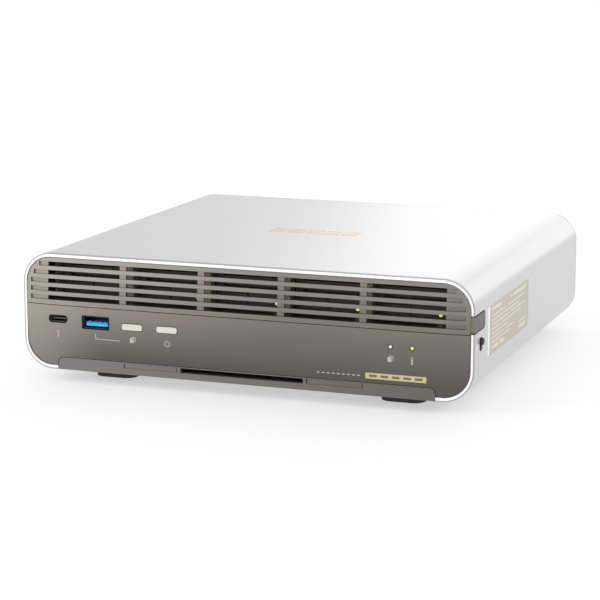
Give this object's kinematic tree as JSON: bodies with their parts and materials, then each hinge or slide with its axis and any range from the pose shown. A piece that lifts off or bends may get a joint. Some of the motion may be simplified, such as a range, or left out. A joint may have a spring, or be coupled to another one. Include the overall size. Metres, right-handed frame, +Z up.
{
  "type": "network attached storage",
  "caption": "Low desktop network storage unit: rounded aluminium wrap, pull-off slotted front cover over drive bays, front ports and buttons, rear ports and blowers.",
  "frame": {"origin": "centre of the footprint, on the plane the feet stand on", "axes": "+X to the right seen from the front, +Y to the rear, +Z up; the front faces -Y"},
  "size_m": [0.2166, 0.199, 0.06],
  "materials": {
    "wrap_aluminium": "fine bead-blasted, clear anodised, bright cut front lip",
    "base_plastic": "fine textured grey-brown plastic",
    "bezel_plastic": "satin bronze-grey painted plastic",
    "rear_steel": "satin grey painted sheet steel",
    "dark_plastic": "dark moulded plastic",
    "red_flag": "red marking",
    "foot_rubber": "soft dark rubber",
    "label_film": "printed beige film",
    "emblem_gold": "thin gold metal inlay",
    "button_plastic": "ivory satin plastic",
    "board_green": "glass fibre circuit board",
    "plated_steel": "nickel plated steel",
    "blue_tongue": "blue insulating plastic",
    "clear_lens": "clear moulded light pipe",
    "cage_steel": "zinc plated sheet steel",
    "tray_plastic": "dark grey glass filled plastic",
    "drive_case": "finned drive enclosure",
    "chip_black": "epoxy chip package",
    "sink_aluminium": "extruded heatsink",
    "coil_grey": "moulded ferrite",
    "brass_plain": "turned brass",
    "ribbon_white": "flat flexible cable"
  },
  "bodies": {
    "chassis": {"shell": "wrap_aluminium", "base_plate": "base_plastic", "lower_bezel": "bezel_plastic", "rear_panel": "rear_steel", "foot_fl": "foot_rubber", "foot_fr": "foot_rubber", "foot_rl": "foot_rubber", "foot_rr": "foot_rubber", "side_label": "label_film", "top_emblem": "emblem_gold", "front_board": "board_green", "type_a_front": "plated_steel", "type_a_tongue": "blue_tongue", "type_c_front": "plated_steel", "tact_switches": "dark_plastic", "status_lenses": "clear_lens", "cage_floor": "cage_steel", "cage_top": "cage_steel", "cage_walls": "cage_steel", "backplane": "board_green", "bay_connectors": "dark_plastic", "mainboard": "board_green", "processor": "chip_black", "heatsink": "sink_aluminium", "memory_chips": "chip_black", "power_coils": "coil_grey", "capacitors": "sink_aluminium", "coin_cell": "plated_steel", "network_jacks": "plated_steel", "type_c_rear": "plated_steel", "type_a_rear": "plated_steel", "video_port": "plated_steel", "dc_jack": "dark_plastic", "reset_switch": "dark_plastic", "blower_left": "dark_plastic", "blower_right": "dark_plastic", "fan_bracket": "cage_steel", "posts": "plated_steel", "standoffs": "brass_plain", "board_screws": "plated_steel", "fan_screws": "plated_steel", "ribbon": "ribbon_white"},
    "cover": {"front_cover": "bezel_plastic"},
    "lock": {"lock_slider": "dark_plastic", "lock_flag": "red_flag"},
    "power_key": {"power_button": "button_plastic"},
    "copy_key": {"copy_button": "button_plastic"},
    "reset_key": {"reset_button": "dark_plastic"},
    "fan_wheel_left": {"wheel_left": "dark_plastic"},
    "fan_wheel_right": {"wheel_right": "dark_plastic"},
    "bay_1": {"tray_1": "tray_plastic", "drive_1": "drive_case"},
    "bay_2": {"tray_2": "tray_plastic", "drive_2": "drive_case"},
    "bay_3": {"tray_3": "tray_plastic", "drive_3": "drive_case"},
    "bay_4": {"tray_4": "tray_plastic", "drive_4": "drive_case"},
    "bay_5": {"tray_5": "tray_plastic", "drive_5": "drive_case"}
  },
  "joints": [
    {"name": "cover_pull", "type": "slide", "parent": "chassis", "child": "cover", "axis": [0, -1, 0], "range_m": [0, 0.03]},
    {"name": "lock_slide", "type": "slide", "parent": "chassis", "child": "lock", "axis": [0, 0, -1], "range_m": [0, 0.0024]},
    {"name": "power_press", "type": "slide", "parent": "chassis", "child": "power_key", "axis": [0, 1, 0], "range_m": [0, 0.0007], "stiffness_N_per_m": 1400, "springref_m": -0.0003},
    {"name": "copy_press", "type": "slide", "parent": "chassis", "child": "copy_key", "axis": [0, 1, 0], "range_m": [0, 0.0007], "stiffness_N_per_m": 1400, "springref_m": -0.0003},
    {"name": "reset_press", "type": "slide", "parent": "chassis", "child": "reset_key", "axis": [0, -1, 0], "range_m": [0, 0.0005], "stiffness_N_per_m": 1600, "springref_m": -0.0002},
    {"name": "fan_spin_left", "type": "hinge", "parent": "chassis", "child": "fan_wheel_left", "pos_m": [-0.045, 0.069, 0.0432], "axis": [0, 0, 1], "continuous": true},
    {"name": "fan_spin_right", "type": "hinge", "parent": "chassis", "child": "fan_wheel_right", "pos_m": [0.045, 0.069, 0.0432], "axis": [0, 0, 1], "continuous": true},
    {"name": "tray_slide_1", "type": "slide", "parent": "chassis", "child": "bay_1", "axis": [0, -1, 0], "range_m": [0, 0.006]},
    {"name": "tray_slide_2", "type": "slide", "parent": "chassis", "child": "bay_2", "axis": [0, -1, 0], "range_m": [0, 0.006]},
    {"name": "tray_slide_3", "type": "slide", "parent": "chassis", "child": "bay_3", "axis": [0, -1, 0], "range_m": [0, 0.006]},
    {"name": "tray_slide_4", "type": "slide", "parent": "chassis", "child": "bay_4", "axis": [0, -1, 0], "range_m": [0, 0.006]},
    {"name": "tray_slide_5", "type": "slide", "parent": "chassis", "child": "bay_5", "axis": [0, -1, 0], "range_m": [0, 0.006]}
  ]
}
